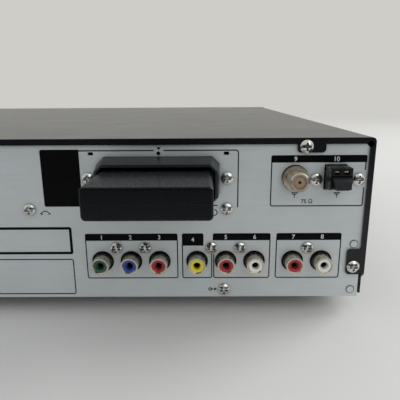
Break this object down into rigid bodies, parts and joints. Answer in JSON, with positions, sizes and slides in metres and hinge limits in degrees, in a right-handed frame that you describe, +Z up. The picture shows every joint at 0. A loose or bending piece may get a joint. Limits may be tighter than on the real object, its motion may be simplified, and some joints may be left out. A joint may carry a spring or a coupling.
{
  "type": "disc player receiver",
  "caption": "Low wide disc player and receiver in a steel case, with a sliding disc tray, rear jacks and a plug-in radio module.",
  "frame": {"origin": "under the middle of the whole object, knob and radio module included, where its feet stand", "axes": "+Z up, -Y the front where the disc tray opens, +X to the right seen from the front"},
  "size_m": [0.43, 0.4346, 0.088],
  "materials": {
    "cover_paint": "satin black",
    "panel_steel": "bare satin",
    "zinc_steel": "bare zinc coat",
    "screw_steel": "bright zinc",
    "nickel": "bright nickel",
    "tin": "tin plated",
    "black_plastic": "matte",
    "dark_plastic": "matte",
    "grey_plastic": "matte",
    "fascia_plastic": "semi-gloss black",
    "button_plastic": "semi-gloss",
    "smoked_plastic": "smoked gloss",
    "tube_glass": "gloss",
    "green_plastic": "semi-gloss",
    "blue_plastic": "semi-gloss",
    "red_plastic": "semi-gloss",
    "yellow_plastic": "semi-gloss",
    "white_plastic": "semi-gloss",
    "tan_plastic": "matte",
    "nylon": "matte",
    "rubber": "matte",
    "board_laminate": "satin",
    "aluminium": "satin",
    "motor_steel": "bare",
    "transformer_tape": "matte",
    "capacitor_sleeve": "gloss"
  },
  "bodies": {
    "case": {"top_cover": "cover_paint", "bottom_chassis": "zinc_steel", "rear_panel": "panel_steel", "feet": "rubber", "rear_screws": "screw_steel", "cover_screws": "screw_steel", "phono_housings": "black_plastic", "phono_shells": "nickel", "phono_contacts": "tin", "green_insulator": "green_plastic", "blue_insulator": "blue_plastic", "red_insulators": "red_plastic", "yellow_insulator": "yellow_plastic", "white_insulators": "white_plastic", "tuner_can": "tin", "coax_insulator": "tan_plastic", "aerial_terminal": "grey_plastic", "slot_bezel": "black_plastic", "card_socket": "dark_plastic", "mains_inlet": "black_plastic", "speaker_sockets": "black_plastic", "video_socket": "tin", "fan_frame": "black_plastic", "main_board": "board_laminate", "amplifier_board": "board_laminate", "power_board": "board_laminate", "heat_sink": "aluminium", "transformer": "transformer_tape", "capacitors": "capacitor_sleeve", "front_fascia": "fascia_plastic", "display_window": "smoked_plastic", "display_tube": "tube_glass", "front_board": "board_laminate", "volume_encoder": "motor_steel", "headphone_jack": "black_plastic", "loading_motor": "motor_steel", "drive_belt": "rubber", "loader_frame": "black_plastic", "clamp_bridge": "zinc_steel"},
    "tray": {"disc_tray": "dark_plastic", "tray_front": "fascia_plastic"},
    "tray_gear": {"tray_gear": "nylon"},
    "pinion": {"belt_pulley": "nylon"},
    "motor_pulley": {"motor_pulley": "nylon"},
    "base": {"base_unit": "dark_plastic", "guide_rods": "motor_steel", "spindle_motor": "motor_steel", "sled_motor": "motor_steel"},
    "turntable": {"turntable": "aluminium"},
    "clamper": {"disc_clamper": "black_plastic"},
    "pickup": {"pickup_sled": "black_plastic"},
    "sled_gear": {"sled_gear": "nylon"},
    "knob": {"volume_knob": "button_plastic"},
    "power_button": {"power_button": "button_plastic"},
    "open_button": {"open_button": "button_plastic"},
    "play_button": {"play_button": "button_plastic"},
    "stop_button": {"stop_button": "button_plastic"},
    "fan_rotor": {"fan_rotor": "black_plastic"},
    "lever": {"terminal_lever": "dark_plastic"},
    "module": {"radio_module": "black_plastic"}
  },
  "joints": [
    {"name": "tray_slide", "type": "slide", "parent": "case", "child": "tray", "axis": [0, -1, 0], "range_m": [0, 0.131]},
    {"name": "tray_gear_turn", "type": "hinge", "parent": "case", "child": "tray_gear", "pos_m": [-0.04525, -0.1728, 0.0566], "axis": [0, 0, 1], "range_deg": [0, 627]},
    {"name": "pinion_turn", "type": "hinge", "parent": "case", "child": "pinion", "pos_m": [-0.02725, -0.1728, 0.0566], "axis": [0, 0, 1], "range_deg": [-1252, 0]},
    {"name": "motor_pulley_turn", "type": "hinge", "parent": "case", "child": "motor_pulley", "pos_m": [0.01075, -0.1728, 0.047], "axis": [0, 0, 1], "range_deg": [-3933, 0]},
    {"name": "base_lift", "type": "hinge", "parent": "case", "child": "base", "pos_m": [0, -0.0271, 0.05655], "axis": [-1, 0, 0], "range_deg": [0, 6.5]},
    {"name": "turntable_spin", "type": "hinge", "parent": "base", "child": "turntable", "pos_m": [0, -0.14162, 0.05462], "axis": [0, -0.1132, 0.9936], "continuous": true},
    {"name": "clamper_spin", "type": "hinge", "parent": "case", "child": "clamper", "pos_m": [0, -0.1411, 0.0698], "axis": [0, 0, 1], "continuous": true},
    {"name": "pickup_slide", "type": "slide", "parent": "base", "child": "pickup", "axis": [0, 0.9936, 0.1132], "range_m": [0, 0.033]},
    {"name": "sled_gear_turn", "type": "hinge", "parent": "base", "child": "sled_gear", "pos_m": [0.0238, -0.09622, 0.04047], "axis": [0, -0.1132, 0.9936], "range_deg": [-395, 0]},
    {"name": "volume_turn", "type": "hinge", "parent": "case", "child": "knob", "pos_m": [0.173, -0.2083, 0.0456], "axis": [0, 1, 0], "continuous": true},
    {"name": "fan_spin", "type": "hinge", "parent": "case", "child": "fan_rotor", "pos_m": [0.047, 0.1672, 0.0496], "axis": [0, 1, 0], "continuous": true},
    {"name": "lever_tip", "type": "hinge", "parent": "case", "child": "lever", "pos_m": [-0.19765, 0.1797, 0.0657], "axis": [-1, 0, 0], "range_deg": [0, 18], "stiffness_Nm_per_rad": 0.02},
    {"name": "module_slide", "type": "slide", "parent": "case", "child": "module", "axis": [0, 1, 0], "range_m": [0, 0.06]},
    {"name": "power_press", "type": "slide", "parent": "case", "child": "power_button", "axis": [0, 1, 0], "range_m": [0, 0.0009], "stiffness_N_per_m": 400},
    {"name": "open_press", "type": "slide", "parent": "case", "child": "open_button", "axis": [0, 1, 0], "range_m": [0, 0.0009], "stiffness_N_per_m": 400},
    {"name": "play_press", "type": "slide", "parent": "case", "child": "play_button", "axis": [0, 1, 0], "range_m": [0, 0.0009], "stiffness_N_per_m": 400},
    {"name": "stop_press", "type": "slide", "parent": "case", "child": "stop_button", "axis": [0, 1, 0], "range_m": [0, 0.0009], "stiffness_N_per_m": 400}
  ],
  "couplings": [
    {"joint": "tray_gear_turn", "follows": "tray_slide", "rad_per_m": 83.333},
    {"joint": "pinion_turn", "follows": "tray_slide", "rad_per_m": -166.67},
    {"joint": "motor_pulley_turn", "follows": "tray_slide", "rad_per_m": -523.81},
    {"joint": "clamper_spin", "follows": "turntable_spin", "ratio": 1},
    {"joint": "sled_gear_turn", "follows": "pickup_slide", "rad_per_m": -208.33}
  ]
}
